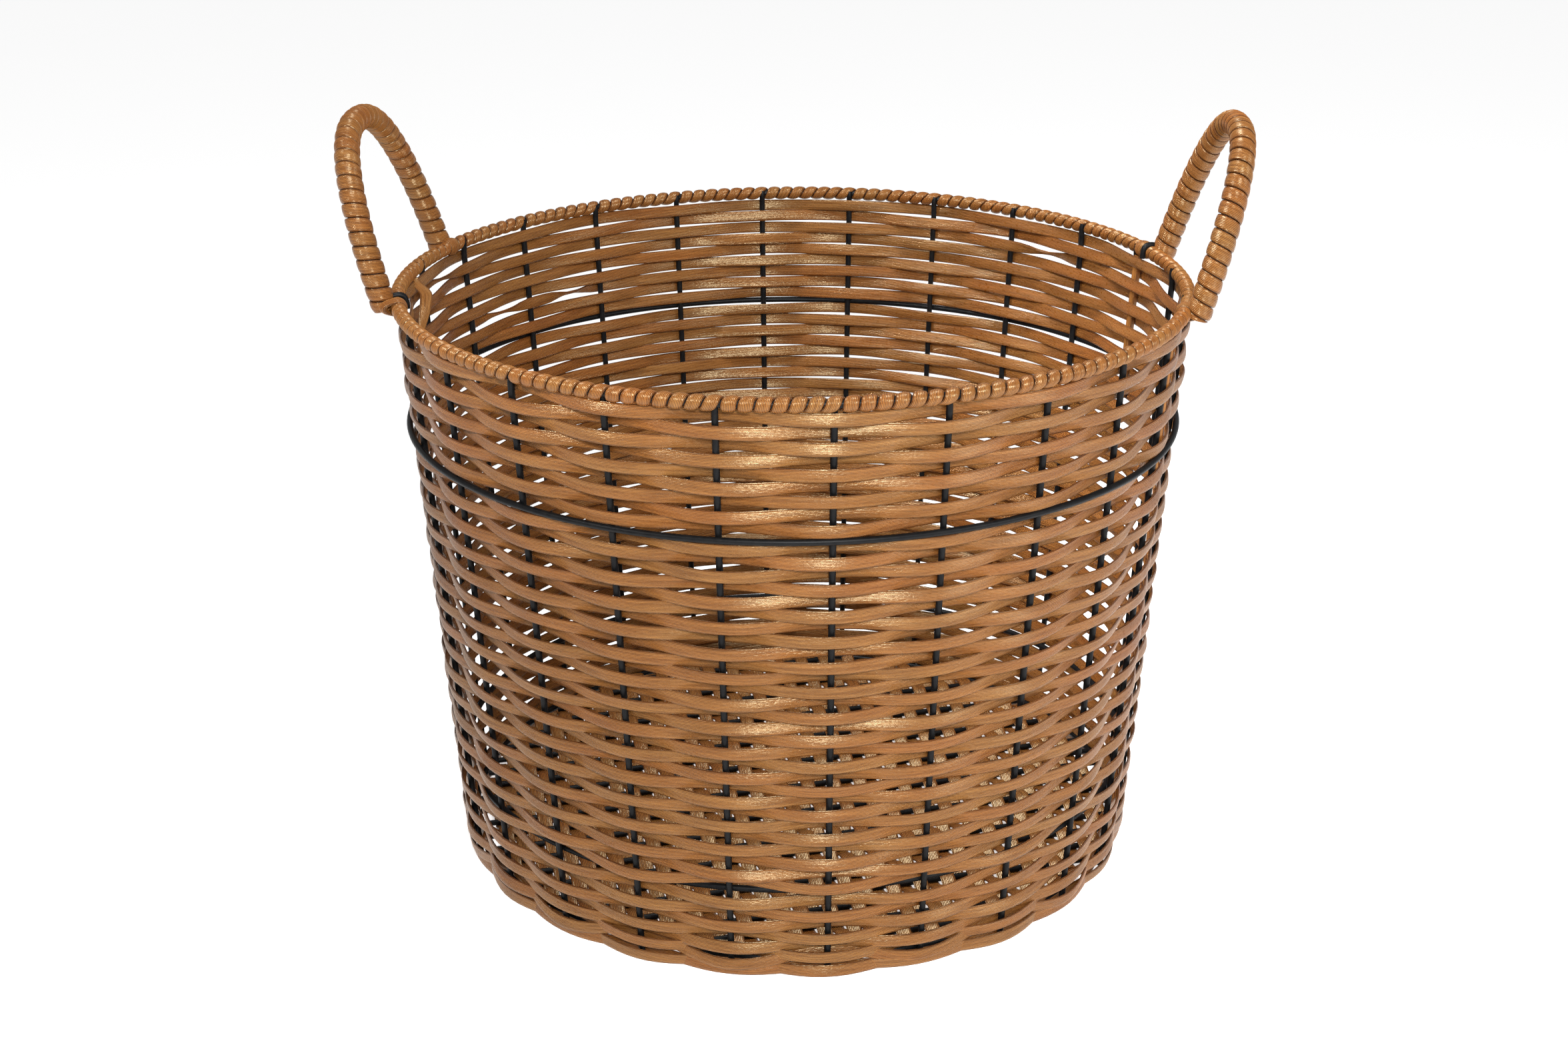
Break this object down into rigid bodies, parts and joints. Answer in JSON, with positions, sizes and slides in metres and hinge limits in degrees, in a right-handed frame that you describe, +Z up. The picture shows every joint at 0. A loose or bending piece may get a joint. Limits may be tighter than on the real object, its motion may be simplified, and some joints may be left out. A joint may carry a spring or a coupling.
{
  "type": "laundry basket",
  "caption": "Round tapered laundry basket of ribbed strand woven over a black wire frame, with a wrapped rim, a woven floor and two fixed arched handles.",
  "frame": {"origin": "centre of the foot on the floor, which is the middle of the bottom of the bounding box", "axes": "+Z up along the basket's axis, +X through the right handle, +Y to the back"},
  "size_m": [0.4568, 0.4076, 0.385],
  "materials": {
    "wire": "black satin plastic coat over steel wire",
    "strand": "flat moulded strand with fine lengthwise ribs, caramel brown, satin"
  },
  "bodies": {
    "root": {"rim_hoop": "wire", "waist_hoop": "wire", "lower_hoop": "wire", "foot_hoop": "wire", "stakes": "wire", "floor_wires": "wire", "handle_core_right": "wire", "handle_core_left": "wire", "handle_tails": "wire", "rim_wrap": "strand", "floor_strands": "strand", "handle_wrap_right": "strand", "handle_wrap_left": "strand", "wall_row_01": "strand", "wall_row_02": "strand", "wall_row_03": "strand", "wall_row_04": "strand", "wall_row_05": "strand", "wall_row_06": "strand", "wall_row_07": "strand", "wall_row_08": "strand", "wall_row_09": "strand", "wall_row_10": "strand", "wall_row_11": "strand", "wall_row_12": "strand", "wall_row_13": "strand", "wall_row_14": "strand", "wall_row_15": "strand", "wall_row_16": "strand", "wall_row_17": "strand", "wall_row_18": "strand", "wall_row_19": "strand", "wall_row_20": "strand", "wall_row_21": "strand", "wall_row_22": "strand", "wall_row_23": "strand", "wall_row_24": "strand", "wall_row_25": "strand", "wall_row_26": "strand", "wall_row_27": "strand", "wall_row_28": "strand", "wall_row_29": "strand", "wall_row_30": "strand", "wall_row_31": "strand", "wall_row_32": "strand", "wall_row_33": "strand", "wall_row_34": "strand", "wall_row_35": "strand", "wall_row_36": "strand", "wall_row_37": "strand", "wall_row_38": "strand", "wall_row_39": "strand", "wall_row_40": "strand", "wall_row_41": "strand", "wall_row_42": "strand", "wall_row_43": "strand", "wall_row_44": "strand", "wall_row_45": "strand", "wall_row_46": "strand"}
  },
  "joints": []
}
